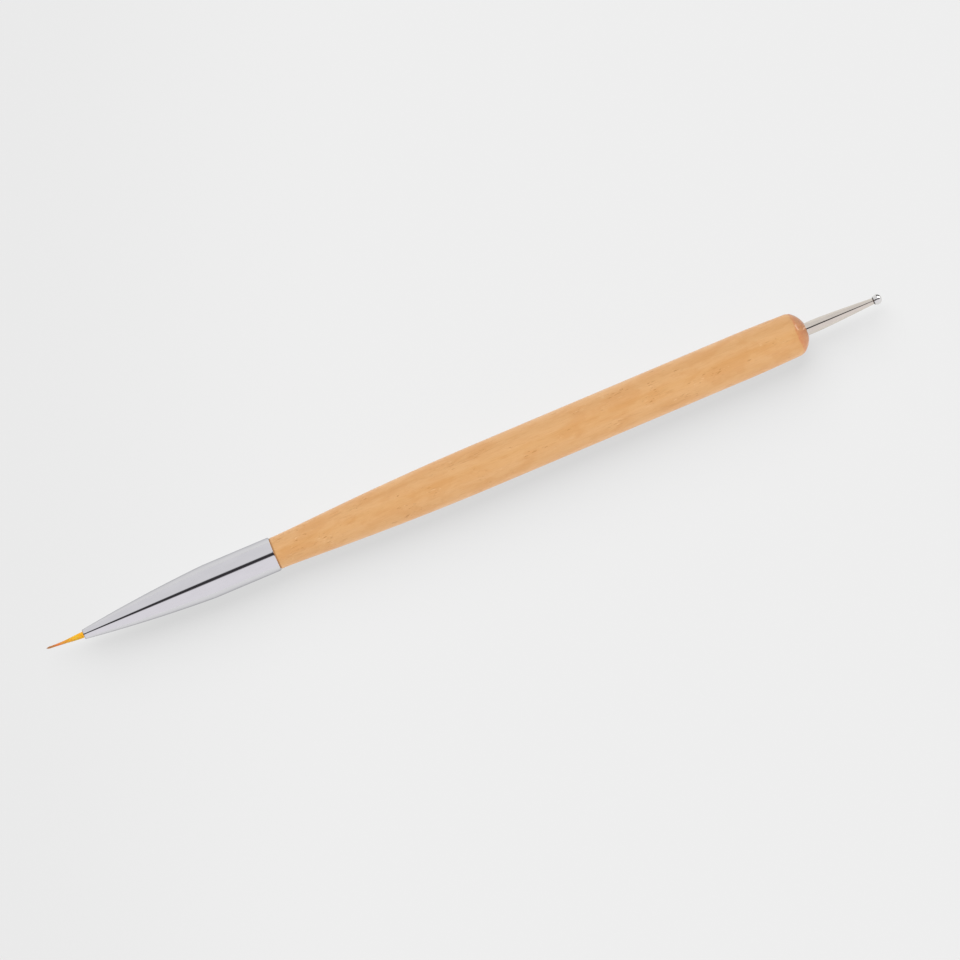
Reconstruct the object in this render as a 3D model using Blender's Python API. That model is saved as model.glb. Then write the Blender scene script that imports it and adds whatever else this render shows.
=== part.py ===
"""Double-ended nail art pen: a fine liner brush at one end, a ball dotting tip at the other.

The pen lies along X with the brush to the left and the ball to the right. The origin is on its
axis, at the middle of its length. Lengths are in metres. Each piece is drawn from its own
reference point on the axis, and then placed there.
"""

import math
import random

import bmesh
import bpy
from mathutils import Vector
from mathutils.geometry import interpolate_bezier

# Lengths along the pen
TUFT_LENGTH = 0.0077
FERRULE_LENGTH = 0.0396
HANDLE_LENGTH = 0.1100
STEM_LENGTH = 0.0147

# Fits
SEAT_GAP = 0.00003
GLUE_FILM = 0.00010

# Ferrule
FERRULE_DIAMETER = 0.0068
FERRULE_MOUTH_DIAMETER = 0.0019
FERRULE_WALL = 0.00020
FERRULE_BARREL_LENGTH = 0.0136
FERRULE_EDGE_ROLL = 0.00045
FERRULE_SWELL_SHARE = 0.45
LIP_ROUND_SHARE = 0.4
EDGE_DROP_SHARE = 0.4

# Handle
HANDLE_DIAMETER = 0.0090
HANDLE_FRONT_TAPER = 0.0440
HANDLE_REAR_TAPER = 0.0108
HANDLE_REAR_DROP = 0.00026
HANDLE_DOME_HEIGHT = 0.0022
HANDLE_RIDGE_ROUND = 0.0006
HANDLE_END_FLAT = 0.00022
FRONT_CURVE_SHARES = (0.125, 0.527)
REAR_SWELL_SHARE = 0.6
TENON_LAND = 0.0012
TENON_CHAMFER = 0.0005
TENON_END_SPACE = 0.0016

# Dotting tip
BALL_DIAMETER = 0.0020
BALL_OVERHANG = 0.00040
STEM_DIAMETER = 0.00254
STEM_STRAIGHT = 0.00255
STEM_SWELL_SHARE = 0.3
SHANK_LENGTH = 0.0140
SHANK_LAND = 0.0010
SHANK_CHAMFER = 0.0003
BORE_SPACE = 0.0004
DRILL_POINT_SHARE = 0.6

# Brush tuft
TUFT_CLEARANCE = 0.00013
TUFT_RECESS = 0.0006
TUFT_TIP_BEND = 0.00028
TUFT_ROOT_LENGTH = 0.0100
TUFT_HEEL_LENGTH = 0.0008
TUFT_HEEL_FLARE = 0.00012
STRAND_GAP = 0.000013
STRAND_RINGS = 8
STRAND_SEED = 7
STRAND_SHORT_SHARE = 0.20
STRAND_RANDOM_SHARE = 0.04
# along the tuft, its width there, and how much of the bend it has by then
TUFT_STATION_SHARES = (
    (0.00, 1.00, 0.00),
    (0.30, 0.80, 0.06),
    (0.52, 0.50, 0.24),
    (1.00, 0.22, 1.00),
)

# Binding and potting round the tuft's root
THREAD_DIAMETER = 0.00018
THREAD_TURNS = 3
POTTING_SETBACK = 0.0015
POTTING_COVER = 0.0040
POTTING_CREEP = 0.0007

# Facets
LARGE_SIDES = 48
SMALL_SIDES = 32
FERRULE_STEPS = 11
HANDLE_STEPS = 13
REAR_STEPS = 3
RIDGE_STEPS = 4
DOME_STEPS = 5
STEM_STEPS = 7
CUP_STEPS = 3
BALL_STEPS = 14
LOBE_STEPS = 4
POTTING_STEPS = 6
MERGE_DISTANCE = 0.0000001
SHARP_ANGLE = math.radians(32)

# Radii and places that follow from the sizes above
FERRULE_RADIUS = FERRULE_DIAMETER / 2
FERRULE_BORE = FERRULE_RADIUS - FERRULE_WALL
FERRULE_NOSE_LENGTH = FERRULE_LENGTH - FERRULE_BARREL_LENGTH
MOUTH_RADIUS = FERRULE_MOUTH_DIAMETER / 2
TUFT_RADIUS = MOUTH_RADIUS - FERRULE_WALL - TUFT_CLEARANCE
HANDLE_RADIUS = HANDLE_DIAMETER / 2
HANDLE_FRONT_RADIUS = FERRULE_BORE - SEAT_GAP
TENON_RADIUS = FERRULE_BORE - GLUE_FILM - 2 * SEAT_GAP
TENON_LENGTH = FERRULE_BARREL_LENGTH - TENON_END_SPACE
STEM_RADIUS = STEM_DIAMETER / 2
BORE_RADIUS = STEM_RADIUS + SEAT_GAP
SHANK_RADIUS = BORE_RADIUS - GLUE_FILM - 2 * SEAT_GAP
BORE_DEPTH = SHANK_LENGTH + GLUE_FILM + BORE_SPACE
BALL_RADIUS = BALL_DIAMETER / 2
NECK_RADIUS = BALL_RADIUS - BALL_OVERHANG
PEN_LENGTH = TUFT_LENGTH + FERRULE_LENGTH + HANDLE_LENGTH + STEM_LENGTH + BALL_RADIUS
MOUTH_X = TUFT_LENGTH - PEN_LENGTH / 2
JOINT_X = MOUTH_X + FERRULE_LENGTH
HANDLE_END_X = JOINT_X + HANDLE_LENGTH
BALL_X = HANDLE_END_X + STEM_LENGTH


def clear_scene():
    for old in list(bpy.data.objects):
        bpy.data.objects.remove(old, do_unlink=True)


def finish(name, colour, roughness, metallic):
    """A plain surface of one colour (linear RGB)."""
    material = bpy.data.materials.new(name)
    material.use_nodes = True
    shader = material.node_tree.nodes["Principled BSDF"]
    shader.inputs["Base Color"].default_value = (*colour, 1.0)
    shader.inputs["Roughness"].default_value = roughness
    shader.inputs["Metallic"].default_value = metallic
    return material


def add_piece(name, bm, material, pen, x, turn=0):
    """Makes an object of a mesh and puts it on the pen's axis at x."""
    bmesh.ops.recalc_face_normals(bm, faces=bm.faces[:])
    mesh = bpy.data.meshes.new(name)
    bm.to_mesh(mesh)
    bm.free()
    mesh.shade_smooth()
    mesh.set_sharp_from_angle(angle=SHARP_ANGLE)
    mesh.materials.append(material)
    piece = bpy.data.objects.new(name, mesh)
    bpy.context.collection.objects.link(piece)
    piece.parent = pen
    piece.location = (x, 0, 0)
    piece.rotation_euler = (0, turn, 0)
    return piece


def turned(outline, sides, closed=False):
    """Spins an outline of (x, radius) points round the X axis, with a facet straight down."""
    bm = bmesh.new()
    half_facet = math.pi / sides
    verts = [
        bm.verts.new((x, radius * math.sin(half_facet), radius * math.cos(half_facet)))
        for x, radius in outline
    ]
    edges = [bm.edges.new(pair) for pair in zip(verts, verts[1:])]
    if closed:
        edges.append(bm.edges.new((verts[-1], verts[0])))
    bmesh.ops.spin(
        bm, geom=verts + edges, cent=(0, 0, 0), axis=(1, 0, 0), angle=math.tau, steps=sides, use_merge=True
    )
    bmesh.ops.remove_doubles(bm, verts=bm.verts[:], dist=MERGE_DISTANCE)
    return bm


def swelled(share, swell):
    """How far a taper has gone at a share of its length, when it swells out of the straight line."""
    return (1 - swell) * share + swell * share**2


def spaced(start, end, steps):
    """Even steps from start to end, both included."""
    return [start + (end - start) * step / steps for step in range(steps + 1)]


def arc(centre_x, radius, start, end, steps):
    """Points of a circle centred on the axis, from one angle to another, counted from +X."""
    return [
        (centre_x + radius * math.cos(angle), radius * math.sin(angle))
        for angle in spaced(start, end, steps)
    ]


def curve(start, start_handle, end_handle, end, steps):
    """Points of a Bezier curve between two (x, radius) points."""
    knots = [Vector((x, radius)) for x, radius in (start, start_handle, end_handle, end)]
    return [(point.x, point.y) for point in interpolate_bezier(*knots, steps + 1)]


def ferrule_radius(back):
    """The ferrule's outer radius at a distance back from its mouth."""
    share = max(0, 1 - back / FERRULE_NOSE_LENGTH)
    return FERRULE_RADIUS - (FERRULE_RADIUS - MOUTH_RADIUS) * swelled(share, FERRULE_SWELL_SHARE)


def nose_bore(start, end, steps):
    """Points of the ferrule's inner face between two distances back from its mouth."""
    return [(back, ferrule_radius(back) - FERRULE_WALL) for back in spaced(start, end, steps)]


def build_ferrule(pen, material):
    """A thin drawn tube: straight at the back, with a long ogive nose and a rolled back edge."""
    lip = FERRULE_WALL * LIP_ROUND_SHARE
    outer = [(back, ferrule_radius(back)) for back in spaced(lip, FERRULE_NOSE_LENGTH, FERRULE_STEPS)]
    edge_start = FERRULE_LENGTH - FERRULE_EDGE_ROLL
    edge_radius = FERRULE_RADIUS - FERRULE_WALL * EDGE_DROP_SHARE
    rolled = curve(
        (edge_start, FERRULE_RADIUS),
        (edge_start + FERRULE_EDGE_ROLL / 2, FERRULE_RADIUS),
        (FERRULE_LENGTH, (FERRULE_RADIUS + edge_radius) / 2),
        (FERRULE_LENGTH, edge_radius),
        RIDGE_STEPS,
    )
    inner = nose_bore(lip, FERRULE_NOSE_LENGTH, FERRULE_STEPS)
    outline = [(0, ferrule_radius(0) - lip)] + outer + rolled
    outline += [(FERRULE_LENGTH, FERRULE_BORE)] + inner[::-1]
    outline += [(0, ferrule_radius(0) - FERRULE_WALL + lip)]
    add_piece("ferrule", turned(outline, LARGE_SIDES, closed=True), material, pen, MOUTH_X)


def build_handle(pen, material):
    """The wooden handle, with its tenon at the front and the stem's bore at the back."""
    tenon = [
        (-TENON_LENGTH, 0),
        (-TENON_LENGTH, TENON_RADIUS - TENON_CHAMFER),
        (TENON_CHAMFER - TENON_LENGTH, TENON_RADIUS),
        (-TENON_LAND, TENON_RADIUS),
        (-TENON_LAND, HANDLE_FRONT_RADIUS),
    ]
    front_share, full_share = FRONT_CURVE_SHARES
    front = curve(
        (0, HANDLE_FRONT_RADIUS),
        (HANDLE_FRONT_TAPER * front_share, HANDLE_FRONT_RADIUS),
        (HANDLE_FRONT_TAPER * (1 - full_share), HANDLE_RADIUS),
        (HANDLE_FRONT_TAPER, HANDLE_RADIUS),
        HANDLE_STEPS,
    )
    outline = tenon + front + handle_back()
    outline += [
        (HANDLE_LENGTH, BORE_RADIUS),
        (HANDLE_LENGTH - BORE_DEPTH, BORE_RADIUS),
        (HANDLE_LENGTH - BORE_DEPTH - BORE_RADIUS * DRILL_POINT_SHARE, 0),
    ]
    add_piece("handle", turned(outline, LARGE_SIDES), material, pen, JOINT_X)


def handle_back():
    """The handle's outline from its full width to the flat round the stem."""
    ridge_x = HANDLE_LENGTH - HANDLE_DOME_HEIGHT
    ridge_radius = HANDLE_RADIUS - HANDLE_REAR_DROP
    flat_radius = BORE_RADIUS + HANDLE_END_FLAT
    side = [
        (
            ridge_x - HANDLE_REAR_TAPER * (1 - share),
            HANDLE_RADIUS - HANDLE_REAR_DROP * swelled(share, REAR_SWELL_SHARE),
        )
        for share in spaced(0, 1 - HANDLE_RIDGE_ROUND / HANDLE_REAR_TAPER, REAR_STEPS)
    ]
    # the dome is a cap of the sphere that goes through the ridge and the rim of the flat
    span = ridge_radius**2 - flat_radius**2 - HANDLE_DOME_HEIGHT**2
    centre_x = ridge_x - span / (2 * HANDLE_DOME_HEIGHT)
    dome_radius = math.hypot(ridge_x - centre_x, ridge_radius)
    dome_start = math.asin(ridge_radius / dome_radius) - HANDLE_RIDGE_ROUND / dome_radius
    dome_end = math.asin(flat_radius / dome_radius)
    dome = arc(centre_x, dome_radius, dome_start, dome_end, DOME_STEPS)
    corner = (ridge_x, ridge_radius)
    ridge = curve(side[-1], middle(side[-1], corner), middle(dome[0], corner), dome[0], RIDGE_STEPS)
    return side + ridge[1:-1] + dome


def middle(one, other):
    return tuple((a + b) / 2 for a, b in zip(one, other))


def build_ferrule_adhesive(pen, material):
    """The film of glue round the tenon, between its land and its chamfer."""
    front = TENON_CHAMFER - TENON_LENGTH
    back = -TENON_LAND - SEAT_GAP
    inner = TENON_RADIUS + SEAT_GAP
    outer = inner + GLUE_FILM
    outline = [(front, inner), (front, outer), (back, outer), (back, inner)]
    add_piece("ferrule_adhesive", turned(outline, LARGE_SIDES, closed=True), material, pen, JOINT_X)


def build_stem(pen, material):
    """The steel stem: a shank in the handle, a straight collar, and a taper that ends in a cup."""
    cup_radius = BALL_RADIUS + SEAT_GAP
    rim_angle = math.pi - math.asin(NECK_RADIUS / cup_radius)
    cup = arc(STEM_LENGTH, cup_radius, rim_angle, math.pi, CUP_STEPS)
    taper_length = cup[0][0] - STEM_STRAIGHT
    taper = [
        (
            STEM_STRAIGHT + taper_length * share,
            STEM_RADIUS - (STEM_RADIUS - NECK_RADIUS) * swelled(share, STEM_SWELL_SHARE),
        )
        for share in spaced(0, 1, STEM_STEPS)
    ]
    outline = [
        (-SHANK_LENGTH, 0),
        (-SHANK_LENGTH, SHANK_RADIUS - SHANK_CHAMFER),
        (SHANK_CHAMFER - SHANK_LENGTH, SHANK_RADIUS),
        (-SHANK_LAND, SHANK_RADIUS),
        (-SHANK_LAND, STEM_RADIUS),
    ]
    outline += taper + cup[1:-1] + [(STEM_LENGTH - cup_radius, 0)]
    add_piece("dotting_stem", turned(outline, SMALL_SIDES), material, pen, HANDLE_END_X)


def build_ball(pen, material):
    ball = arc(0, BALL_RADIUS, math.pi, 0, BALL_STEPS)
    outline = [(-BALL_RADIUS, 0)] + ball[1:-1] + [(BALL_RADIUS, 0)]
    add_piece("dotting_ball", turned(outline, SMALL_SIDES), material, pen, BALL_X)


def build_stem_adhesive(pen, material):
    """The cup of glue round the shank and under its end."""
    bottom = -SHANK_LENGTH - SEAT_GAP
    top = -SHANK_LAND - SEAT_GAP
    inner = SHANK_RADIUS + SEAT_GAP
    outer = inner + GLUE_FILM
    outline = [
        (bottom - GLUE_FILM, 0),
        (bottom - GLUE_FILM, outer),
        (top, outer),
        (top, inner),
        (bottom, inner),
        (bottom, 0),
    ]
    add_piece("stem_adhesive", turned(outline, SMALL_SIDES), material, pen, HANDLE_END_X)


def hexagon_to_disc(point):
    """Moves a point of a hexagon to the ring of the disc that it belongs to, evenly spaced round it."""
    sixth = math.tau / 6
    sector, local = divmod(math.atan2(point.y, -point.x) + sixth / 2, sixth)
    lean = local - sixth / 2
    ring = point.length * math.cos(lean) / math.cos(sixth / 2)
    share = (1 + math.tan(lean) / math.tan(sixth / 2)) / 2
    angle = (sector + share) * sixth
    return Vector((ring * math.cos(angle), ring * math.sin(angle), 0))


def strand_place(root, share):
    """The middle and the scale of a strand at a share of the tuft's length."""
    tuft_length = TUFT_RECESS + TUFT_LENGTH
    for (a0, w0, b0), (a1, w1, b1) in zip(TUFT_STATION_SHARES, TUFT_STATION_SHARES[1:]):
        if share <= a1:
            blend = (share - a0) / (a1 - a0)
            width = w0 + (w1 - w0) * blend
            bend = TUFT_TIP_BEND * (b0 + (b1 - b0) * blend)
            break
    return Vector((root.x * width, root.y * width + bend, share * tuft_length)), width


def grow_strand(bm, cell, end_share):
    """Draws one cell of the tuft's root out into a tapering strand with a pointed end."""
    root = cell.calc_center_median()
    corners = [vert.co - root for vert in cell.verts]
    for share, _, _ in TUFT_STATION_SHARES[1:-1]:
        cell = bmesh.ops.extrude_discrete_faces(bm, faces=[cell])["faces"][0]
        place, scale = strand_place(root, share)
        for vert, corner in zip(cell.verts, corners):
            vert.co = place + corner * scale
    cell = bmesh.ops.extrude_discrete_faces(bm, faces=[cell])["faces"][0]
    tip, _ = strand_place(root, end_share)
    bmesh.ops.pointmerge(bm, verts=cell.verts[:], merge_co=tip)


def add_bundle(bm):
    """Draws the disc's rim back into the fused bundle, flares its heel and closes its end."""
    rim = [edge for edge in bm.edges if edge.is_boundary]
    heel_start = TUFT_ROOT_LENGTH - TUFT_HEEL_LENGTH
    for depth, radius in ((heel_start, TUFT_RADIUS), (TUFT_ROOT_LENGTH, TUFT_RADIUS + TUFT_HEEL_FLARE)):
        grown = bmesh.ops.extrude_edge_only(bm, edges=rim)["geom"]
        for vert in [item for item in grown if isinstance(item, bmesh.types.BMVert)]:
            vert.co = Vector((*vert.co.xy.normalized() * radius, -depth))
        rim = [item for item in grown if isinstance(item, bmesh.types.BMEdge) and item.is_boundary]
    bmesh.ops.contextual_create(bm, geom=rim)


def build_tuft(pen, material):
    """Three-sided strands that taper and bend together, fused at the root into a round bundle.

    All strands follow one narrowing of the whole tuft, so that none crosses another.
    """
    bm = bmesh.new()
    bmesh.ops.create_circle(bm, cap_ends=True, cap_tris=True, segments=6, radius=TUFT_RADIUS)
    bmesh.ops.subdivide_edges(bm, edges=bm.edges[:], cuts=STRAND_RINGS - 1, use_grid_fill=True)
    for vert in bm.verts:
        if vert.co.length > MERGE_DISTANCE:
            vert.co = hexagon_to_disc(vert.co)
    cells = bm.faces[:]
    add_bundle(bm)
    bmesh.ops.inset_individual(bm, faces=cells, thickness=STRAND_GAP / 2, use_even_offset=True)
    dice = random.Random(STRAND_SEED)
    for cell in cells:
        outness = cell.calc_center_median().length / TUFT_RADIUS
        shorter = STRAND_SHORT_SHARE * outness**2 + STRAND_RANDOM_SHARE * dice.random() * outness
        grow_strand(bm, cell, 1 - shorter)
    add_piece("bristle_tuft", bm, material, pen, MOUTH_X + TUFT_RECESS, turn=-math.pi / 2)


def binding_span():
    """Where the binding starts and ends, back from the ferrule's mouth."""
    end = TUFT_RECESS + TUFT_ROOT_LENGTH - TUFT_HEEL_LENGTH - SEAT_GAP
    return end - THREAD_TURNS * THREAD_DIAMETER, end


def build_binding(pen, material):
    """Turns of thread drawn tight round the bundle, side by side."""
    start, end = binding_span()
    inner = TUFT_RADIUS + SEAT_GAP
    outline = [(end, inner), (start, inner)]
    for turn in range(THREAD_TURNS):
        middle_x = start + (turn + 1 / 2) * THREAD_DIAMETER
        lobe = arc(middle_x, THREAD_DIAMETER / 2, math.pi, 0, LOBE_STEPS)
        lobe = [(x, radius + inner + THREAD_DIAMETER / 2) for x, radius in lobe]
        outline += lobe if turn == 0 else lobe[1:]
    add_piece("tuft_binding", turned(outline, SMALL_SIDES, closed=True), material, pen, MOUTH_X)


def build_potting(pen, material):
    """The epoxy in the ferrule's nose, cast round the bundle, its binding and its heel."""
    bundle_end = TUFT_RECESS + TUFT_ROOT_LENGTH
    back = bundle_end + POTTING_COVER
    bore = TUFT_RADIUS + SEAT_GAP
    groove = bore + THREAD_DIAMETER + SEAT_GAP
    heel = bore + TUFT_HEEL_FLARE
    groove_start, groove_end = binding_span()
    outer = [
        (x, radius - SEAT_GAP)
        for x, radius in nose_bore(POTTING_SETBACK, back + POTTING_CREEP, POTTING_STEPS)
    ]
    outline = [
        (bundle_end + SEAT_GAP, 0),
        (bundle_end + SEAT_GAP, heel),
        (groove_end + SEAT_GAP, groove),
        (groove_start - SEAT_GAP, groove),
        (groove_start - SEAT_GAP, bore),
        (POTTING_SETBACK, bore),
    ]
    outline += outer + [(back, outer[-1][1] - POTTING_CREEP), (back, 0)]
    add_piece("tuft_potting", turned(outline, SMALL_SIDES), material, pen, MOUTH_X)


def build_pen():
    clear_scene()
    pen = bpy.data.objects.new("pen_axis", None)
    bpy.context.collection.objects.link(pen)
    wood = finish("lacquered_wood", (0.72, 0.42, 0.19), 0.38, 0)
    chrome = finish("bright_chrome", (0.78, 0.78, 0.80), 0.06, 1)
    nickel = finish("polished_nickel", (0.68, 0.64, 0.59), 0.14, 1)
    steel = finish("ball_steel", (0.72, 0.71, 0.69), 0.08, 1)
    nylon = finish("golden_nylon", (0.75, 0.40, 0.06), 0.35, 0)
    thread = finish("binding_thread", (0.80, 0.78, 0.72), 0.80, 0)
    epoxy = finish("clear_amber_epoxy", (0.62, 0.44, 0.20), 0.20, 0)
    glue = finish("wood_glue", (0.70, 0.60, 0.42), 0.45, 0)
    build_handle(pen, wood)
    build_ferrule(pen, chrome)
    build_ferrule_adhesive(pen, glue)
    build_tuft(pen, nylon)
    build_binding(pen, thread)
    build_potting(pen, epoxy)
    build_stem(pen, nickel)
    build_ball(pen, steel)
    build_stem_adhesive(pen, glue)


build_pen()
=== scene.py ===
import math
import random

import bmesh
import bpy
from mathutils import Matrix, Vector, noise
from mathutils.geometry import interpolate_bezier


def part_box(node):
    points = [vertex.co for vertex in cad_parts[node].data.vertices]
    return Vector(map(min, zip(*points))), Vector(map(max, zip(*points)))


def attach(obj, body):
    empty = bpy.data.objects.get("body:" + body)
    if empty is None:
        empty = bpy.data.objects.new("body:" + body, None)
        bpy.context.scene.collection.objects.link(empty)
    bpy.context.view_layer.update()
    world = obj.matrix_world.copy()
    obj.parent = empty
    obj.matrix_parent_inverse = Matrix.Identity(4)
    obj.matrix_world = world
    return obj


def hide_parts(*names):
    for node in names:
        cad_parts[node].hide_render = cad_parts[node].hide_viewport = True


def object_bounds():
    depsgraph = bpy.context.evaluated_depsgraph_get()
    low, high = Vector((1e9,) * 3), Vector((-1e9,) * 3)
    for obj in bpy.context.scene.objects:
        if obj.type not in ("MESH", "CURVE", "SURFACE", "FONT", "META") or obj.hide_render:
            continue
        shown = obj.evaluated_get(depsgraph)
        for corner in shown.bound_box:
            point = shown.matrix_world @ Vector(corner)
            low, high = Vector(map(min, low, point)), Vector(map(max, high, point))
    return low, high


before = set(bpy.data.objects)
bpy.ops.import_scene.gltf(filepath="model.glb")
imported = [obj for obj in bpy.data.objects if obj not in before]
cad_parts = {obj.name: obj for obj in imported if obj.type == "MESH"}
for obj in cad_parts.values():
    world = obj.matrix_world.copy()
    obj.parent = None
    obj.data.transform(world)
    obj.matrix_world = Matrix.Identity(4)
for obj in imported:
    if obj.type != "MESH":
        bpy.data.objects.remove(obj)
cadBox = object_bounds()
mm = 0.001
print("frame loaded:", ", ".join(sorted(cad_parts)))

# where the pieces meet along the pen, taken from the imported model
mouthX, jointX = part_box("ferrule")[0].x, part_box("ferrule")[1].x
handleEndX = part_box("handle")[1].x
ballX = (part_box("dotting_ball")[0].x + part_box("dotting_ball")[1].x) / 2
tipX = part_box("bristle_tuft")[0].x


# nodes and colours

softEdges = (0.3, 0.7)  # fades across the middle of a noise


def addNode(tree, kind, inputs=None, **settings):
    made = tree.nodes.new("ShaderNode" + kind)
    for key, value in settings.items():
        setattr(made, key, value)
    for socket, value in (inputs or {}).items():
        if isinstance(value, bpy.types.NodeSocket):
            tree.links.new(value, made.inputs[socket])
        else:
            made.inputs[socket].default_value = value
    return made


def startMaterial(name, values):
    material = bpy.data.materials.new(name)
    material.use_nodes = True
    shader = material.node_tree.nodes["Principled BSDF"]
    for socket, value in values.items():
        shader.inputs[socket].default_value = value
    return material, material.node_tree, shader


def penPlace(tree):
    return addNode(tree, "TexCoord").outputs["Object"]


def alongPen(tree):
    return addNode(tree, "SeparateXYZ", {0: penPlace(tree)}).outputs["X"]


def noiseAt(tree, scale, detail=2, rough=0.5, warp=0, shift=(0, 0, 0)):
    # scale: how fine the noise is along the pen and across it
    place = {"Vector": penPlace(tree), "Scale": scale, "Location": shift}
    values = {"Vector": addNode(tree, "Mapping", place).outputs[0], "Scale": 1,
              "Detail": detail, "Roughness": rough, "Distortion": warp}
    return addNode(tree, "TexNoise", values).outputs["Fac"]


def ramp(tree, value, low, high, start=0.0, end=1.0):
    values = {"Value": value, "From Min": low, "From Max": high, "To Min": start, "To Max": end}
    return addNode(tree, "MapRange", values, interpolation_type="SMOOTHSTEP").outputs[0]


def calc(tree, operation, one, other=0.0):
    return addNode(tree, "Math", {0: one, 1: other}, operation=operation).outputs[0]


def blendColour(tree, amount, one, other):
    one = (*one, 1) if isinstance(one, tuple) else one
    other = (*other, 1) if isinstance(other, tuple) else other
    return addNode(tree, "Mix", {0: amount, 6: one, 7: other}, data_type="RGBA").outputs[2]


def layOver(tree, colour, mask, strength, other):
    return blendColour(tree, calc(tree, "MULTIPLY", mask, strength), colour, other)


def dulledColour(colour, share):
    return tuple(share * part for part in colour)


def bandFrom(tree, start, edges, drift=None):
    # fades in between two edges, in millimetres from a place on the pen's axis
    along = alongPen(tree)
    if drift is not None:
        along = calc(tree, "ADD", along, drift)
    return ramp(tree, along, *[start + edge * mm for edge in edges])


def bumpFrom(tree, shader, height, depth, strength):
    values = {"Height": height, "Distance": depth * mm, "Strength": strength}
    tree.links.new(addNode(tree, "Bump", values).outputs[0], shader.inputs["Normal"])


# turned outlines: (x, radius) points in millimetres

def spaced(start, end, steps):
    return [start + (end - start) * step / steps for step in range(steps + 1)]


def swelled(share, swell):
    return (1 - swell) * share + swell * share**2  # a taper that bulges out of the straight line


def curve(start, pullOne, pullTwo, end, steps):
    knots = [Vector((x, r)) for x, r in (start, pullOne, pullTwo, end)]
    return [(point.x, point.y) for point in interpolate_bezier(*knots, steps + 1)]


def roundCorner(before, corner, after, steps):
    halfway = [tuple((a + b) / 2 for a, b in zip(corner, side)) for side in (before, after)]
    return curve(before, halfway[0], halfway[1], after, steps)


def arc(centre, radius, start, end, steps):
    angles = spaced(start, end, steps)
    return [(centre + radius * math.cos(angle), radius * math.sin(angle)) for angle in angles]


def plugOutline(plug, shoulder):
    # the hidden end that is glued in, up to the shoulder where the thicker part begins
    return [
        (-plug["length"], 0),
        (-plug["length"], plug["radius"] - plug["chamfer"]),
        (plug["chamfer"] - plug["length"], plug["radius"]),
        (-plug["land"], plug["radius"]),
        (-plug["land"], shoulder),
    ]


def turnOutline(outline, originX, sides, closed=False):
    # spins the outline round the pen's axis and joins the points that lie on it
    bm = bmesh.new()
    verts = [bm.verts.new((originX + x * mm, 0, r * mm)) for x, r in outline]
    edges = [bm.edges.new(pair) for pair in zip(verts, verts[1:])]
    if closed:
        edges.append(bm.edges.new((verts[-1], verts[0])))
    bmesh.ops.spin(bm, geom=verts + edges, cent=(0, 0, 0), axis=(1, 0, 0), angle=math.tau,
                   steps=sides, use_merge=True)
    bmesh.ops.remove_doubles(bm, verts=bm.verts[:], dist=1e-7)
    return bm


def meshFrom(name, bm, material):
    mesh = bpy.data.meshes.new(name)
    bm.to_mesh(mesh)
    bm.free()
    mesh.materials.append(material)
    thing = bpy.data.objects.new(name, mesh)
    bpy.context.collection.objects.link(thing)
    return thing


def placePiece(name, bm, material, node, sharpAngle=30):
    bmesh.ops.recalc_face_normals(bm, faces=bm.faces[:])
    piece = meshFrom(name, bm, material)
    piece.data.shade_smooth()
    piece.data.set_sharp_from_angle(angle=math.radians(sharpAngle))
    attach(piece, "root")
    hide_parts(node)


# camera: straight above, with a long lens, turned so that the pen rises to the right

cameraSet = {
    "lens": 200,
    "pictureWidth": 0.1832,  # what the picture takes in at the pen, in metres
    "turn": -22.9,
    "aimRight": 0.00304,
    "aimUp": -0.00118,
    "farthest": 20,
}
cameraTurn = math.radians(cameraSet["turn"])
pictureRight = (math.cos(cameraTurn), math.sin(cameraTurn), 0)
pictureUp = (-math.sin(cameraTurn), math.cos(cameraTurn), 0)


def makeCamera():
    data = bpy.data.cameras.new("pictureCamera")
    data.lens = cameraSet["lens"]
    data.clip_end = cameraSet["farthest"]
    aim = Vector(pictureRight) * cameraSet["aimRight"] + Vector(pictureUp) * cameraSet["aimUp"]
    away = cameraSet["pictureWidth"] * data.lens / data.sensor_width
    camera = bpy.data.objects.new("pictureCamera", data)
    camera.location = aim + Vector((0, 0, away))
    camera.rotation_euler = (0, 0, cameraTurn)
    bpy.context.collection.objects.link(camera)
    bpy.context.scene.camera = camera


# stage: pale floor and surroundings, a soft key from the top of the picture and two plain fills

stageSet = {
    "floorTone": 0.855,
    "floorSize": 8,
    "floorRoughness": 0.9,
    "floorFade": {"places": (-0.095, -0.020), "share": 0.960},  # painted light falloff: a little darker far to the left
    "shadowDepth": 0.222,  # the share of the floor's tone that its own sun gives
    "skyShare": 0.05,
    "lampLevel": 1.19,  # makes up for what the lamps' size spreads past the pen
    "softboxUpper": (0.785, 0.780, 0.800),
    "softboxLower": (0.865, 0.845, 0.880),
    "softboxSeam": (-0.1, 0.1),
    "slitTone": (0.040, 0.037, 0.042),
    "slitAside": 0.07,  # sideways over upwards, where the dark gap between the boxes lies
    "slitEdges": (0.115, 0.255),
    "slitWidens": (0.3, 0.9),  # along the pen over upwards, where the gap grows
    "slitSpread": 2.0,  # how many times wider it gets there
    "darkEnd": {"towards": (-1.0, 0.0, 0.0), "edges": (0.965, 0.99), "tone": (0.10, 0.095, 0.10)},
}
lampSet = {  # azimuth in degrees from the ball's end of the pen, elevation above the floor
    "key": {"azimuth": 90, "elevation": 49, "size": (0.9, 0.62), "share": 0.40, "shadow": True},
    "fillLow": {"azimuth": -75, "elevation": 36.5, "size": (0.9, 0.5), "share": 0.425,
                "shadow": False},
    "fillHigh": {"azimuth": 115, "elevation": 27, "size": (0.9, 0.4), "share": 0.12,
                 "shadow": False},
}
floorSunSet = {"azimuth": 90, "elevation": 46, "spread": 57, "level": 4.0}
sparkleSet = {  # a small lamp near the dome, for gloss alone
    "azimuth": 25,
    "elevation": 19,
    "distance": 0.042,
    "size": (0.019, 0.013),
    "radiance": 8.0,
}
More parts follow.
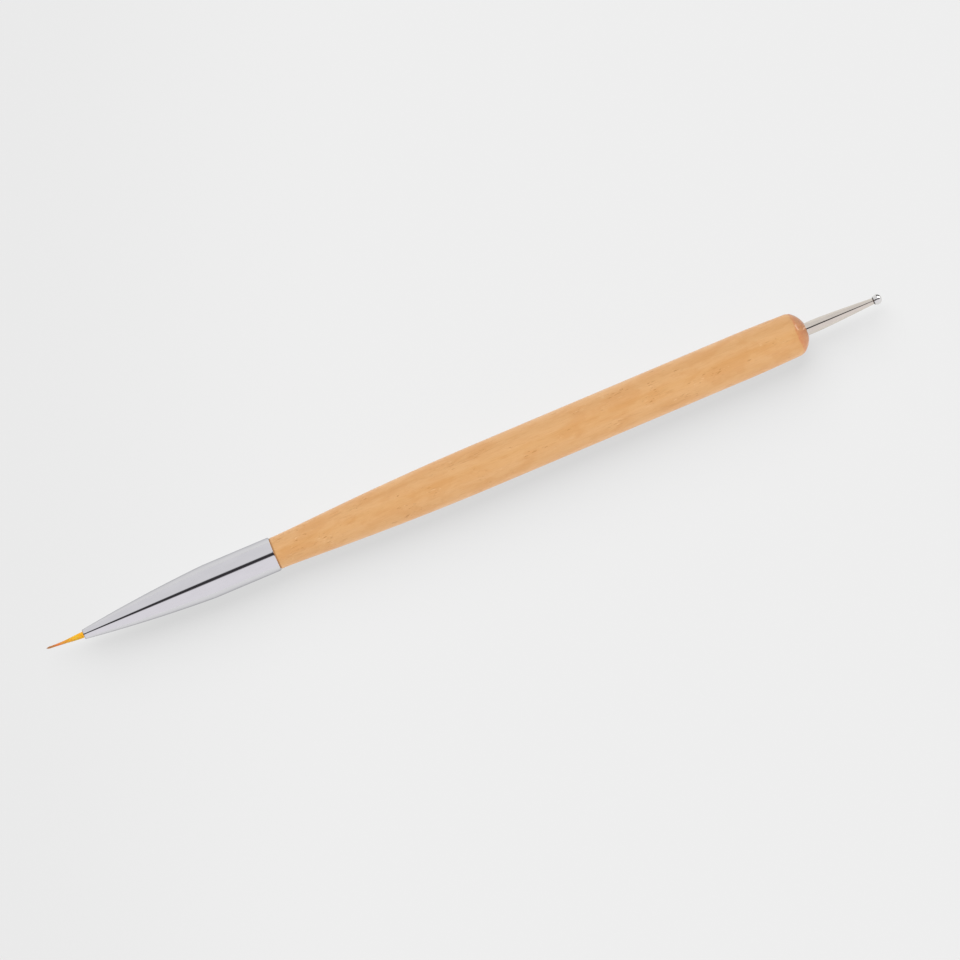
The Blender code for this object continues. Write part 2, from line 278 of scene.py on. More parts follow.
cardSet = {  # a dark card beside the ball, for its mirror image alone; in millimetres
    "azimuth": 54,
    "away": 6.0,
    "size": (5.4, 5.4),
    "tone": (0.01, 0.01, 0.01),
}


def directionTo(azimuth, elevation):
    a, e = math.radians(azimuth), math.radians(elevation)
    return Vector((math.cos(a) * math.cos(e), math.sin(a) * math.cos(e), math.sin(e)))


def addLamp(name, kind, azimuth, elevation, power):
    lamp = bpy.data.objects.new(name, bpy.data.lights.new(name, kind))
    lamp.data.energy = power
    lamp.rotation_euler = directionTo(azimuth, elevation).to_track_quat("Z", "Y").to_euler()
    bpy.context.collection.objects.link(lamp)
    return lamp


def hangLamp(name, azimuth, elevation, size, power, distance=1.0):
    lamp = addLamp(name, "AREA", azimuth, elevation, power)
    lamp.data.shape = "RECTANGLE"
    lamp.data.size, lamp.data.size_y = size
    lamp.location = directionTo(azimuth, elevation) * distance
    return lamp


def linkLamp(lamp, thing, state):
    # INCLUDE: the lamp lights this thing alone; EXCLUDE: everything but it
    group = bpy.data.collections.new(lamp.name + "Links")
    lamp.light_linking.receiver_collection = group
    group.objects.link(thing)
    group.collection_objects[0].light_linking.link_state = state
    lamp.visible_glossy = False  # the metal mirrors the surroundings instead


def makePenLamps(floor):
    for name, values in lampSet.items():
        rise = math.sin(math.radians(values["elevation"]))
        power = stageSet["lampLevel"] * math.pi**2 / rise
        place = [values[part] for part in ("azimuth", "elevation", "size")]
        lamp = hangLamp(name, *place, values["share"] * power)
        lamp.data.use_shadow = values["shadow"]
        linkLamp(lamp, floor, "EXCLUDE")


def makeFloorSun(floor):
    rise = directionTo(floorSunSet["azimuth"], floorSunSet["elevation"]).z
    power = floorSunSet["level"] * math.pi / rise
    sun = addLamp("floorSun", "SUN", floorSunSet["azimuth"], floorSunSet["elevation"], power)
    sun.data.angle = math.radians(floorSunSet["spread"])
    linkLamp(sun, floor, "INCLUDE")


def makeSparkle():
    wide, high = sparkleSet["size"]
    power = sparkleSet["radiance"] * math.pi * wide * high
    place = [sparkleSet[part] for part in ("azimuth", "elevation", "size")]
    sparkle = hangLamp("sparkle", *place, power, sparkleSet["distance"])
    sparkle.location.x += handleEndX
    sparkle.visible_camera = sparkle.visible_diffuse = False


def mirroredStudio(tree):
    # what the metal mirrors: two soft boxes with a dark gap between them over the pen
    place = addNode(tree, "TexCoord").outputs["Generated"]
    direction = addNode(tree, "SeparateXYZ", {0: place}).outputs
    side = ramp(tree, direction["Y"], *stageSet["softboxSeam"])
    boxes = blendColour(tree, side, stageSet["softboxLower"], stageSet["softboxUpper"])
    up = calc(tree, "MAXIMUM", direction["Z"], 0.001)  # never zero, since the rest is divided by it
    sideways = calc(tree, "DIVIDE", direction["Y"], up)
    aside = calc(tree, "ABSOLUTE", calc(tree, "SUBTRACT", sideways, stageSet["slitAside"]))
    along = calc(tree, "ABSOLUTE", calc(tree, "DIVIDE", direction["X"], up))
    spread = ramp(tree, along, *stageSet["slitWidens"], 1, stageSet["slitSpread"])
    clear = ramp(tree, calc(tree, "DIVIDE", aside, spread), *stageSet["slitEdges"])
    mirrored = blendColour(tree, clear, stageSet["slitTone"], boxes)
    dark = stageSet["darkEnd"]
    nearness = addNode(tree, "VectorMath", {0: place, 1: dark["towards"]},
                       operation="DOT_PRODUCT").outputs["Value"]
    return blendColour(tree, ramp(tree, nearness, *dark["edges"]), mirrored, dark["tone"])


def makeSurroundings():
    # pale to the camera and in mirrors, faint as a light
    world = bpy.data.worlds.new("studio")
    bpy.context.scene.world = world
    world.use_nodes = True
    tree = world.node_tree
    tree.nodes.clear()
    rays = addNode(tree, "LightPath").outputs
    pale = (stageSet["floorTone"],) * 3
    seen = blendColour(tree, rays["Is Glossy Ray"], pale, mirroredStudio(tree))
    plain = addNode(tree, "Background", {"Color": (1, 1, 1, 1), "Strength": stageSet["skyShare"]})
    shown = addNode(tree, "Background", {"Color": seen, "Strength": 1})
    looks = calc(tree, "ADD", rays["Is Camera Ray"], rays["Is Glossy Ray"])
    looks = calc(tree, "MINIMUM", calc(tree, "ADD", looks, rays["Is Transmission Ray"]), 1)
    both = addNode(tree, "MixShader", {0: looks, 1: plain.outputs[0], 2: shown.outputs[0]})
    addNode(tree, "OutputWorld", {"Surface": both.outputs[0]})


def makeSheet(name, size, material):
    bm = bmesh.new()
    bmesh.ops.create_grid(bm, x_segments=1, y_segments=1, size=0.5)
    bm.transform(Matrix.Diagonal((*size, 1, 1)))
    sheet = meshFrom(name, bm, material)
    return sheet


def makeFloor():
    # mostly its own even tone, so that it takes no colour from the pen, and its own soft shadow
    values = {"Roughness": stageSet["floorRoughness"], "Specular IOR Level": 0}
    material, tree, shader = startMaterial("paleFloor", values)
    material.cycles.emission_sampling = "NONE"
    # painted light falloff: the floor's tone darker far to the left
    fade = stageSet["floorFade"]
    aside = addNode(tree, "VectorMath", {0: penPlace(tree), 1: pictureRight},
                    operation="DOT_PRODUCT").outputs["Value"]
    bright = ramp(tree, aside, *fade["places"], fade["share"])
    tone = blendColour(tree, bright, (0, 0, 0), (stageSet["floorTone"],) * 3)
    tree.links.new(tone, shader.inputs["Base Color"])
    lit = stageSet["shadowDepth"] / floorSunSet["level"]
    strength = (1 - stageSet["shadowDepth"]) / (1 - lit)
    glow = addNode(tree, "Emission", {"Color": tone, "Strength": strength})
    both = addNode(tree, "MixShader", {0: 1 - lit, 1: shader.outputs[0], 2: glow.outputs[0]})
    tree.links.new(both.outputs[0], tree.nodes["Material Output"].inputs["Surface"])
    floor = makeSheet("floor", (stageSet["floorSize"],) * 2, material)
    floor.location = (0, 0, cadBox[0].z)
    return floor


def makeDarkCard():
    values = {"Base Color": (*cardSet["tone"], 1), "Roughness": 1}
    wide, high = cardSet["size"]
    card = makeSheet("darkCard", (wide * mm, high * mm), startMaterial("darkCard", values)[0])
    away = directionTo(cardSet["azimuth"], 0) * (cardSet["away"] * mm)
    card.location = (ballX + away.x, away.y, cadBox[0].z + high / 2 * mm)
    card.rotation_euler = away.to_track_quat("Z", "Y").to_euler()
    card.visible_camera = card.visible_diffuse = card.visible_shadow = False


makeCamera()
paleFloor = makeFloor()
makePenLamps(paleFloor)
makeFloorSun(paleFloor)
makeSparkle()
makeDarkCard()
makeSurroundings()
bpy.context.scene.view_settings.view_transform = "Standard"
print("camera and stage made")


# handle: turned wood under satin lacquer; lengths in millimetres back from the ferrule

handleSet = {
    "radius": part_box("handle")[1].z / mm,
    "frontRadius": 3.163,
    "frontTaper": 44.0,
    "frontPulls": (0.125, 0.527),  # how far its two ends pull on the curve, as shares of the taper
    "rearTaper": 10.8,
    "rearDrop": 0.26,
    "rearSwell": 0.6,
    "domeHeight": 2.2,
    "ridgeRound": 0.6,
    "endFlat": 0.22,
    "rimRound": (0.10, 0.08),  # into the bore and out over the flat
    "tenon": {"radius": 3.04, "length": 12.0, "land": 1.2, "chamfer": 0.5},
    "bore": {"radius": 1.30, "depth": 14.5, "drillPoint": 0.78},
    "frontGroove": {"depth": 0.14, "width": 0.36},
    "uneven": {"depth": 0.012, "from": 1.0, "spots": (14, 4, 4)},  # the lacquer wanders inwards
    "sides": 160,
    "steps": {"groove": 8, "front": 44, "middle": 40, "rear": 10, "ridge": 10, "dome": 14,
              "rim": 4},
    "sharpAngle": 40,
    "wood": {
        "shader": {"Roughness": 0.45, "IOR": 1.5, "Specular IOR Level": 0.2,
                   "Coat Weight": 0.5, "Coat Roughness": 0.15},
        "pale": (0.775, 0.436, 0.188),
        "warm": (0.735, 0.385, 0.150),
        "patches": {"noise": {"scale": (150, 380, 380), "detail": 5, "rough": 0.6, "warp": 0.5},
                    "edges": (0.40, 0.62)},
        "areas": {  # where the streaks and the flecks gather
            "streaked": {"noise": {"scale": (60, 240, 240), "shift": (4, 2, 9)},
                         "edges": (0.52, 0.66)},
            "flecked": {"noise": {"scale": (210, 520, 520), "shift": (7, 0, 4)},
                        "edges": (0.54, 0.62)},
        },
        "layers": {  # laid over each other in this order
            "fibres": {"noise": {"scale": (260, 7500, 7500), "detail": 4, "rough": 0.65,
                                 "warp": 0.3},
                       "edges": (0.45, 0.72),
                       "strength": 0.35, "colour": (0.635, 0.305, 0.102)},
            "vessels": {"noise": {"scale": (420, 13000, 13000), "detail": 1, "shift": (1, 6, 3)},
                        "edges": (0.64, 0.72),
                        "strength": 0.50, "colour": (0.635, 0.305, 0.102)},
            "streaks": {"noise": {"scale": (180, 1500, 1500), "detail": 4, "rough": 0.65,
                                  "warp": 1.2, "shift": (2, 5, 1)},
                        "edges": (0.52, 0.66), "area": "streaked",
                        "strength": 0.22, "colour": (0.475, 0.198, 0.044)},
            "flecks": {"noise": {"scale": (950, 4300, 4300), "detail": 1, "warp": 0.4,
                                 "shift": (3, 1, 2)},
                       "edges": (0.60, 0.70), "area": "flecked",
                       "strength": 0.62, "colour": (0.475, 0.198, 0.044)},
            "marks": {"noise": {"scale": (950, 4300, 4300), "detail": 1, "warp": 0.4,
                                "shift": (3, 1, 2)},
                      "edges": (0.36, 0.28), "area": "flecked",
                      "strength": 0.50, "colour": (0.86, 0.56, 0.30)},
        },
        # the dome's end grain: partly its own darker colour, partly painted shade where the dome
        # turns away from the light
        "domeCut": {"noise": {"scale": (300, 420, 420), "detail": 1}, "wander": 0.9,
                    "edges": (0.40, 0.72), "strength": 0.9, "colour": (0.69, 0.265, 0.110)},
        "pores": {"noise": {"scale": (1500, 1700, 1700), "detail": 3, "rough": 0.6},
                  "edges": (0.38, 0.66), "strength": 0.5},
        # painted shade in the groove where the wood meets the ferrule
        "paintedGrooveShade": {"noise": {"scale": (1800, 1800, 1800)}, "wander": -0.25,
                        "edges": (0.30, 0.02), "strength": 0.55, "colour": (0.30, 0.14, 0.06)},
        "shine": {"noise": {"scale": (90, 400, 400), "detail": 3}, "roughness": (0.40, 0.52)},
        "relief": {"depth": 0.006, "strength": 0.28, "fibres": 0.35, "vessels": 0.5},
    },
}


def handleOutline():
    values, steps = handleSet, handleSet["steps"]
    radius, front = values["radius"], values["frontRadius"]
    length = (handleEndX - jointX) / mm
    groove = values["frontGroove"]
    width, floor = groove["width"], front - groove["depth"]
    outline = plugOutline(values["tenon"], front) + [(-width / 4, front)]
    outline += curve((0, floor), (width / 4, floor), (width / 2, front), (width, front),
                     steps["groove"])[:-1]
    taper = values["frontTaper"]
    pullOne, pullTwo = values["frontPulls"]
    outline += curve((width, front), (taper * pullOne, front), (taper * (1 - pullTwo), radius),
                     (taper, radius), steps["front"])
    rear, drop, swell = values["rearTaper"], values["rearDrop"], values["rearSwell"]
    ridge = (length - values["domeHeight"], radius - drop)
    rearStart = ridge[0] - rear
    outline += [(x, radius) for x in spaced(taper, rearStart, steps["middle"])[1:-1]]
    side = [
        (rearStart + rear * share, radius - drop * swelled(share, swell))
        for share in spaced(0, 1 - values["ridgeRound"] / rear, steps["rear"])
    ]
    bore = values["bore"]
    flat = bore["radius"] + values["endFlat"]
    back = (ridge[1] ** 2 - flat**2 - values["domeHeight"] ** 2) / (2 * values["domeHeight"])
    reach = math.hypot(back, ridge[1])  # the dome's own radius
    start = math.asin(ridge[1] / reach) - values["ridgeRound"] / reach
    dome = arc(ridge[0] - back, reach, start, math.asin(flat / reach), steps["dome"])
    outline += side + roundCorner(side[-1], ridge, dome[0], steps["ridge"])[1:-1] + dome
    inward, outward = values["rimRound"]
    outline += roundCorner((length, flat - outward), (length, bore["radius"]),
                           (length - inward, bore["radius"]), steps["rim"])
    bottom = length - bore["depth"]
    return outline + [(bottom, bore["radius"]), (bottom - bore["drillPoint"], 0)]


def woodFinish():
    wood = handleSet["wood"]
    material, tree, shader = startMaterial("lacqueredWood", wood["shader"])

    def maskOf(values):
        return ramp(tree, noiseAt(tree, **values["noise"]), *values["edges"])

    def wanderingBand(start, values):
        drift = calc(tree, "MULTIPLY", noiseAt(tree, **values["noise"]), values["wander"] * mm)
        return bandFrom(tree, start, values["edges"], drift)

    colour = blendColour(tree, maskOf(wood["patches"]), wood["pale"], wood["warm"])
    areas = {name: maskOf(values) for name, values in wood["areas"].items()}
    masks = {}
    for name, layer in wood["layers"].items():
        masks[name] = maskOf(layer)
        if "area" in layer:
            masks[name] = calc(tree, "MULTIPLY", masks[name], areas[layer["area"]])
        colour = layOver(tree, colour, masks[name], layer["strength"], layer["colour"])

    dome, pores, groove = wood["domeCut"], wood["pores"], wood["paintedGrooveShade"]
    # end grain on the dome: partly its own colour, partly painted shade
    endGrainAndShade = layOver(tree, dome["colour"], maskOf(pores), pores["strength"], wood["warm"])
    cut = wanderingBand(handleEndX - handleSet["domeHeight"] * mm, dome)
    colour = layOver(tree, colour, cut, dome["strength"], endGrainAndShade)
    # painted shade: darker wood in the groove by the ferrule
    paintedShade = wanderingBand(jointX, groove)
    colour = layOver(tree, colour, paintedShade, groove["strength"], groove["colour"])
    tree.links.new(colour, shader.inputs["Base Color"])

    gloss = noiseAt(tree, **wood["shine"]["noise"])
    tree.links.new(ramp(tree, gloss, *softEdges, *wood["shine"]["roughness"]),
                   shader.inputs["Roughness"])
    relief = wood["relief"]
    fibres = noiseAt(tree, **wood["layers"]["fibres"]["noise"])
    raised = calc(tree, "MULTIPLY", fibres, relief["fibres"])
    sunk = calc(tree, "MULTIPLY", masks["vessels"], relief["vessels"])
    height = calc(tree, "SUBTRACT", raised, calc(tree, "ADD", sunk, masks["flecks"]))
    bumpFrom(tree, shader, height, relief["depth"], relief["strength"])
    return material


def makeHandle():
    bm = turnOutline(handleOutline(), jointX, handleSet["sides"])
    uneven = handleSet["uneven"]
    long, wide, high = uneven["spots"]
    for vert in bm.verts:
        outside = vert.co.yz.length > handleSet["frontRadius"] * mm
        if outside and vert.co.x > jointX + uneven["from"] * mm:
            spot = Vector((vert.co.x / long, vert.co.y / wide, vert.co.z / high)) / mm
            share = 0.5 + 0.5 * noise.noise(spot)  # the noise runs from -1 to 1
            vert.co.yz *= 1 - uneven["depth"] * mm * share / vert.co.yz.length
    placePiece("turned_handle", bm, woodFinish(), "handle", handleSet["sharpAngle"])


makeHandle()
print("handle made")


# ferrule: thin drawn tube with a long ogive nose; millimetres back from its mouth

ferruleSet = {
    "radius": 3.4,
    "mouthRadius": 0.95,
    "wall": 0.2,
    "barrelLength": 13.6,
    "swell": 0.45,
    "lipRound": 0.08,
    "edgeRoll": 0.5,
    "edgeDrop": 0.12,
    "edgeBevel": 0.03,
    "sides": 160,
    "steps": {"nose": 60, "edge": 10, "lip": 6},
    "chrome": {
        "roughness": 0.06,
        "rimTint": (0.62, 0.62, 0.64),  # how much the plating mirrors where it is seen at a glance
        "colour": (0.775, 0.770, 0.790),
        "dulled": 0.965,
        "haze": {"noise": {"scale": (260, 900, 900), "detail": 4, "rough": 0.6},
                 "edges": (0.35, 0.75), "roughness": (0.045, 0.075)},
        "drawn": {"noise": {"scale": (9000, 90, 90), "detail": 3, "rough": 0.6},
                  "roughness": 0.02, "depth": 0.0006, "strength": 0.5},
        # painted shade at the mouth, where the tuft meets the ferrule
        "lip": {"edges": (0.22, 0.05), "strength": 0.7, "colour": (0.26, 0.25, 0.26)},
    },
}


def ferruleOutline():
    values, steps = ferruleSet, ferruleSet["steps"]
    radius, wall, roll = values["radius"], values["wall"], values["edgeRoll"]
    length = (jointX - mouthX) / mm
    nose = length - values["barrelLength"]

    def radiusAt(back):
        share = max(0, 1 - back / nose)
        return radius - (radius - values["mouthRadius"]) * swelled(share, values["swell"])

    backs = spaced(values["lipRound"], nose, steps["nose"])
    outside = [(back, radiusAt(back)) for back in backs]
    inside = [(back, radiusAt(back) - wall) for back in reversed(backs)]
    edge = radius - values["edgeDrop"]
    rolled = curve((length - roll, radius), (length - roll / 2, radius),
                   (length, (radius + edge) / 2), (length, edge), steps["edge"])
    bore, bevel = radius - wall, values["edgeBevel"]
    rear = [(length, bore + bevel), (length - bevel, bore)]
    front = radiusAt(0)
    middle = (0, front - wall / 2)
    mouth = roundCorner(inside[-1], (0, front - wall), middle, steps["lip"])[1:]
    mouth += roundCorner(middle, (0, front), outside[0], steps["lip"])[1:-1]
    return outside + rolled + rear + inside + mouth


def chromeFinish():
    chrome = ferruleSet["chrome"]
    values = {"Metallic": 1, "Roughness": chrome["roughness"],
              "Specular Tint": (*chrome["rimTint"], 1)}
    material, tree, shader = startMaterial("brightChrome", values)
    dulled = dulledColour(chrome["colour"], chrome["dulled"])
    haze = noiseAt(tree, **chrome["haze"]["noise"])
    colour = blendColour(tree, ramp(tree, haze, *softEdges), chrome["colour"], dulled)
    # painted shade at the mouth, where the tuft meets the ferrule
    lip = chrome["lip"]
    mask = bandFrom(tree, mouthX, lip["edges"])
    colour = layOver(tree, colour, mask, lip["strength"], lip["colour"])
    tree.links.new(colour, shader.inputs["Base Color"])
    drawn = noiseAt(tree, **chrome["drawn"]["noise"])
    hazy = ramp(tree, haze, *chrome["haze"]["edges"], *chrome["haze"]["roughness"])
    drawnRough = calc(tree, "MULTIPLY", drawn, chrome["drawn"]["roughness"])
    tree.links.new(calc(tree, "ADD", hazy, drawnRough), shader.inputs["Roughness"])
    bumpFrom(tree, shader, drawn, chrome["drawn"]["depth"], chrome["drawn"]["strength"])
    return material


drawnTube = turnOutline(ferruleOutline(), mouthX, ferruleSet["sides"], closed=True)
placePiece("drawn_ferrule", drawnTube, chromeFinish(), "ferrule")
print("ferrule made")


# dotting tip: nickel-plated stem with a steel ball seated in its cup

stemSet = {
    "radius": 1.27,
    "straight": 2.55,
    "swell": 0.3,
    "shank": {"radius": 1.14, "length": 14.0, "land": 1.0, "chamfer": 0.3},
    "seatGap": 0.03,
    "neckRadius": 0.6,
    "sides": 96,
    "steps": {"taper": 40, "cup": 8},
    "nickel": {"colour": (0.775, 0.715, 0.640), "roughness": (0.07, 0.14), "rings": 14000},
}
ballSet = {
    "radius": 1.0,
    "sides": 96,
    "steps": 48,
    "steel": {
        "colour": (0.83, 0.82, 0.80),
        "roughness": (0.03, 0.07),
        "rings": 600,
        # painted shade round the seat of the ball
        "paintedSeatShade": {"edges": (-0.52, -0.68), "strength": 0.85, "colour": (0.06, 0.05, 0.045)},
    },
}
polishSet = {  # what the nickel and the steel share
    "dulled": 0.94,
    "haze": {"scale": (700, 1500, 1500), "detail": 4, "rough": 0.6},
    "turned": {"across": 60, "detail": 3, "rough": 0.6, "share": 0.5, "depth": 0.0012,
               "strength": 0.5},
    "wearEdges": (0.5, 1.0),
}


def stemOutline():
    values, steps = stemSet, stemSet["steps"]
    radius, neck, straight = values["radius"], values["neckRadius"], values["straight"]
    length = (ballX - handleEndX) / mm
    cupRadius = ballSet["radius"] + values["seatGap"]
    rim = math.pi - math.asin(neck / cupRadius)
    cup = arc(length, cupRadius, rim, math.pi, steps["cup"])
    taper = cup[0][0] - straight
    side = [
        (straight + taper * share, radius - (radius - neck) * swelled(share, values["swell"]))
        for share in spaced(0, 1, steps["taper"])
    ]
    return plugOutline(values["shank"], radius) + side + cup[1:-1] + [(length - cupRadius, 0)]


def ballOutline():
    radius = ballSet["radius"]
    halfCircle = arc(0, radius, math.pi, 0, ballSet["steps"])
    return [(-radius, 0)] + halfCircle[1:-1] + [(radius, 0)]


def polishedFinish(name, metal):
    values = {"Metallic": 1, "Roughness": metal["roughness"][0]}
    material, tree, shader = startMaterial(name, values)
    dulled = dulledColour(metal["colour"], polishSet["dulled"])
    haze = noiseAt(tree, **polishSet["haze"])
    tone = blendColour(tree, ramp(tree, haze, *softEdges), metal["colour"], dulled)
    if "paintedSeatShade" in metal:  # painted shade where the ball meets the stem's cup, darkening its mirror image of the dome there
        paintedShade = metal["paintedSeatShade"]
        mask = bandFrom(tree, ballX, paintedShade["edges"])
        tone = layOver(tree, tone, mask, paintedShade["strength"], paintedShade["colour"])
    tree.links.new(tone, shader.inputs["Base Color"])
    turned = polishSet["turned"]
    scale = (metal["rings"], turned["across"], turned["across"])
    rings = noiseAt(tree, scale, turned["detail"], turned["rough"])
    wear = calc(tree, "ADD", haze, calc(tree, "MULTIPLY", rings, turned["share"]))
    tree.links.new(ramp(tree, wear, *polishSet["wearEdges"], *metal["roughness"]),
                   shader.inputs["Roughness"])
    bumpFrom(tree, shader, rings, turned["depth"], turned["strength"])
    return material


placePiece("tapered_stem", turnOutline(stemOutline(), handleEndX, stemSet["sides"]),
           polishedFinish("polishedNickel", stemSet["nickel"]), "dotting_stem")
placePiece("steel_ball", turnOutline(ballOutline(), ballX, ballSet["sides"]),
           polishedFinish("bearingSteel", ballSet["steel"]), "dotting_ball")
print("dotting tip made")


# brush: tapered nylon strands, fused at the root into a bundle that the ferrule holds; millimetres

tuftSet = {
    "rings": 13,  # rings of strands round the middle one
    "radius": 0.62,
    "recess": 0.6,
    "rootLength": 10.0,
    "heelLength": 0.8,
    "heelFlare": 0.12,
    "gap": 0.004,
    "tipBend": 0.28,
    "widths": (  # of the whole brush, from its root to its point
        (0, 1), (0.15, 0.94), (0.3, 0.8), (0.41, 0.64), (0.52, 0.5), (0.65, 0.42), (0.8, 0.34),
        (0.93, 0.33), (1, 0.24),
    ),
    "bends": ((0, 0), (0.3, 0.06), (0.52, 0.24), (0.75, 0.55), (1, 1)),
    "shorter": 0.05,  # the share that the outermost strands lack in length
    "uneven": 0.07,
    "stations": 11,
    "crowding": 1.5,  # brings the stations closer together towards the point
    "thinsFrom": 0.45,
    "thinsCurve": 1.6,
    "wander": 0.018,
    "wanderRise": 3,  # full from a third of the way
    "wanderSpots": (2.5, 1.6, 1.6),
    "wanderShift": (9.2, 5.7, 3.1),  # from the sideways wander to the one up and down
    "seed": 7,
    "sharpAngle": 50,
    "nylon": {
        "shader": {"Roughness": 0.36, "IOR": 1.53, "Subsurface Weight": 0.25,
                   "Subsurface Scale": 0.0003},
        "colours": (  # from the point to the ferrule
            (0.00, (0.19, 0.135, 0.100)),
            (0.04, (0.49, 0.245, 0.110)),
            (0.14, (0.60, 0.240, 0.075)),
            (0.30, (0.76, 0.220, 0.065)),
            (0.44, (0.78, 0.360, 0.050)),
            (0.70, (0.86, 0.540, 0.035)),
            (1.00, (0.92, 0.460, 0.012)),
        ),
        "ragged": {"noise": {"scale": (500, 9000, 9000)}, "share": 0.05},
        "streaks": {"noise": {"scale": (160, 14000, 14000), "detail": 3, "rough": 0.6},
                    "edges": (0.35, 0.65), "strength": 0.22, "colour": (0.55, 0.24, 0.03),
                    "roughness": (0.30, 0.42)},
    },
}


def between(table, share):
    for (a, low), (b, high) in zip(table, table[1:]):
        if share <= b:
            return low + (high - low) * (share - a) / (b - a)
    return table[-1][1]


def roundedHexagon(point):
    # moves a point of a honeycomb to its ring of a disc, evenly spaced round it
    sixth = math.tau / 6
    sector, local = divmod(math.atan2(point.y, point.x), sixth)
    lean = local - sixth / 2
    ring = point.length * math.cos(lean) / math.cos(sixth / 2)
    angle = (sector + (1 + math.tan(lean) / math.tan(sixth / 2)) / 2) * sixth
    return Vector((math.cos(angle), math.sin(angle))) * ring


def honeycombCells(bm, x):
    # one cell for each strand, a unit apart before the last scaling
    rings = tuftSet["rings"]
    corners, loops = {}, []
    for column in range(-rings, rings + 1):
        for row in range(max(-rings, -column - rings), min(rings, rings - column) + 1):
            centre = Vector((column + row / 2, row * math.sqrt(3) / 2))
            loop = []
            for step in range(6):
                angle = math.radians(30 + 60 * step)
                corner = centre + Vector((math.cos(angle), math.sin(angle))) / math.sqrt(3)
                key = (round(corner.x * 4), round(corner.y * 10))  # the same in all three cells
                corners.setdefault(key, roundedHexagon(corner))
                loop.append(key)
            loops.append(loop)
    scale = tuftSet["radius"] * mm / max(corner.length for corner in corners.values())
    verts = {key: bm.verts.new((x, *(corner * scale))) for key, corner in corners.items()}
    return [bm.faces.new([verts[key] for key in loop]) for loop in loops]


def closeBundle(bm, x):
    # the rim goes back along the bundle, flares at its heel and is closed there
    rim = [edge for edge in bm.edges if edge.is_boundary]
    flare = 1 + tuftSet["heelFlare"] / tuftSet["radius"]
    straight = tuftSet["rootLength"] - tuftSet["heelLength"]
    for depth, grow in ((straight, 1), (tuftSet["rootLength"], flare)):
        made = bmesh.ops.extrude_edge_only(bm, edges=rim)["geom"]
        for vert in [item for item in made if isinstance(item, bmesh.types.BMVert)]:
            vert.co = (x + depth * mm, vert.co.y * grow, vert.co.z * grow)
        rim = [item for item in made if isinstance(item, bmesh.types.BMEdge) and item.is_boundary]
    bmesh.ops.contextual_create(bm, geom=rim)


def growStrand(bm, cell, endShare, length):
    root = cell.calc_center_median()
    ring = cell.verts[:]
    corners = [vert.co - root for vert in ring]
    bm.faces.remove(cell)
    along, aside, high = tuftSet["wanderSpots"]

    def placeAt(share):
        width = between(tuftSet["widths"], share)
        bend = tuftSet["tipBend"] * mm * between(tuftSet["bends"], share)
        place = Vector((root.x - share * length, root.y * width + bend, root.z * width))
        spot = Vector((share * along, root.y / mm * aside, root.z / mm * high))
        otherSpot = spot + Vector(tuftSet["wanderShift"])
        drift = Vector((0, noise.noise(spot), noise.noise(otherSpot)))
        rise = min(1, tuftSet["wanderRise"] * share)
        return place + drift * (tuftSet["wander"] * mm * rise), width

    for step in spaced(0, 1, tuftSet["stations"])[1:-1]:
        share = endShare * (1 - (1 - step) ** tuftSet["crowding"])
        place, width = placeAt(share)
        beyond = max(0, share / endShare - tuftSet["thinsFrom"])
        thin = width * (1 - beyond ** tuftSet["thinsCurve"])
        nextRing = [bm.verts.new(place + corner * thin) for corner in corners]
        for one in range(6):
            two = (one + 1) % 6
            bm.faces.new((ring[one], ring[two], nextRing[two], nextRing[one]))
        ring = nextRing
    tip = bm.verts.new(placeAt(endShare)[0])
    for one in range(6):
        bm.faces.new((ring[one], ring[(one + 1) % 6], tip))


def nylonFinish(rootX):
    nylon = tuftSet["nylon"]
    material, tree, shader = startMaterial("goldenNylon", nylon["shader"])
    along = {"Value": alongPen(tree), "From Min": tipX, "From Max": rootX}
    share = addNode(tree, "MapRange", along).outputs[0]
    ragged = nylon["ragged"]
    uneven = noiseAt(tree, **ragged["noise"])
    uneven = ramp(tree, uneven, *softEdges, -ragged["share"], ragged["share"])
    shades = addNode(tree, "ValToRGB", {0: calc(tree, "ADD", share, uneven)})
    stops = shades.color_ramp.elements
    for number, (spot, colour) in enumerate(nylon["colours"]):
        stop = stops[number] if number < 2 else stops.new(spot)  # a new ramp has two stops
        stop.position, stop.color = spot, (*colour, 1)
    values = nylon["streaks"]
    streaks = noiseAt(tree, **values["noise"])
    dark = ramp(tree, streaks, *values["edges"], 0.0, values["strength"])
    colour = blendColour(tree, dark, shades.outputs["Color"], values["colour"])
    tree.links.new(colour, shader.inputs["Base Color"])
    tree.links.new(ramp(tree, streaks, *softEdges, *values["roughness"]),
                   shader.inputs["Roughness"])
    return material


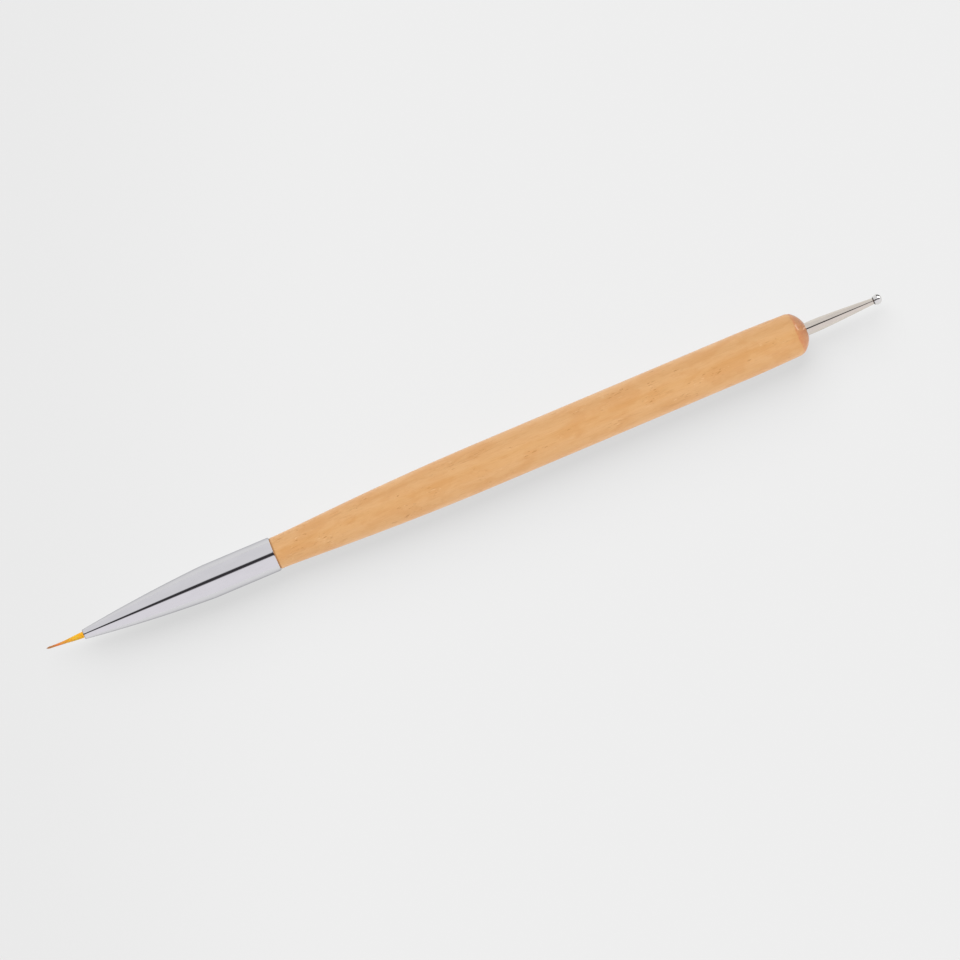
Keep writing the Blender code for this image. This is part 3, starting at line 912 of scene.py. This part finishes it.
def makeTuft():
    rootX = mouthX + tuftSet["recess"] * mm
    bm = bmesh.new()
    cells = honeycombCells(bm, rootX)
    closeBundle(bm, rootX)
    bmesh.ops.inset_individual(bm, faces=cells, thickness=tuftSet["gap"] / 2 * mm,
                               use_even_offset=True)
    dice = random.Random(tuftSet["seed"])
    for cell in cells:
        outness = cell.calc_center_median().yz.length / (tuftSet["radius"] * mm)
        shorter = tuftSet["shorter"] * outness**2 + tuftSet["uneven"] * dice.random()
        growStrand(bm, cell, 1 - shorter, rootX - tipX)
    placePiece("liner_tuft", bm, nylonFinish(rootX), "bristle_tuft",
               tuftSet["sharpAngle"])


makeTuft()
print("brush made")


# inner pieces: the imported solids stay, each with its own finish; bump depth in millimetres

innerSet = {
    "thread": {"nodes": ["tuft_binding"], "colour": (0.80, 0.78, 0.72),
               "shade": (0.62, 0.58, 0.50), "scale": (9000, 2500, 2500),
               "roughness": (0.70, 0.92), "depth": 0.02},
    "epoxy": {"nodes": ["tuft_potting"], "colour": (0.62, 0.44, 0.20),
              "shade": (0.50, 0.31, 0.11), "scale": (500, 700, 700),
              "roughness": (0.12, 0.30), "depth": 0.01},
    "glue": {"nodes": ["ferrule_adhesive", "stem_adhesive"], "colour": (0.70, 0.60, 0.42),
             "shade": (0.58, 0.47, 0.29), "scale": (900, 900, 900),
             "roughness": (0.40, 0.62), "depth": 0.01},
}
mottleSet = {"detail": 4, "rough": 0.6, "edges": (0.35, 0.65), "strength": 1.0}


def dressInnerPieces():
    for name, values in innerSet.items():
        material, tree, shader = startMaterial(name + "Finish", {})
        mottle = noiseAt(tree, values["scale"], mottleSet["detail"], mottleSet["rough"])
        shaded = ramp(tree, mottle, *mottleSet["edges"])
        tone = blendColour(tree, shaded, values["colour"], values["shade"])
        tree.links.new(tone, shader.inputs["Base Color"])
        tree.links.new(ramp(tree, mottle, *softEdges, *values["roughness"]),
                       shader.inputs["Roughness"])
        bumpFrom(tree, shader, mottle, values["depth"], mottleSet["strength"])
        for node in values["nodes"]:
            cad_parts[node].data.materials[0] = material


dressInnerPieces()
print("inner pieces dressed")
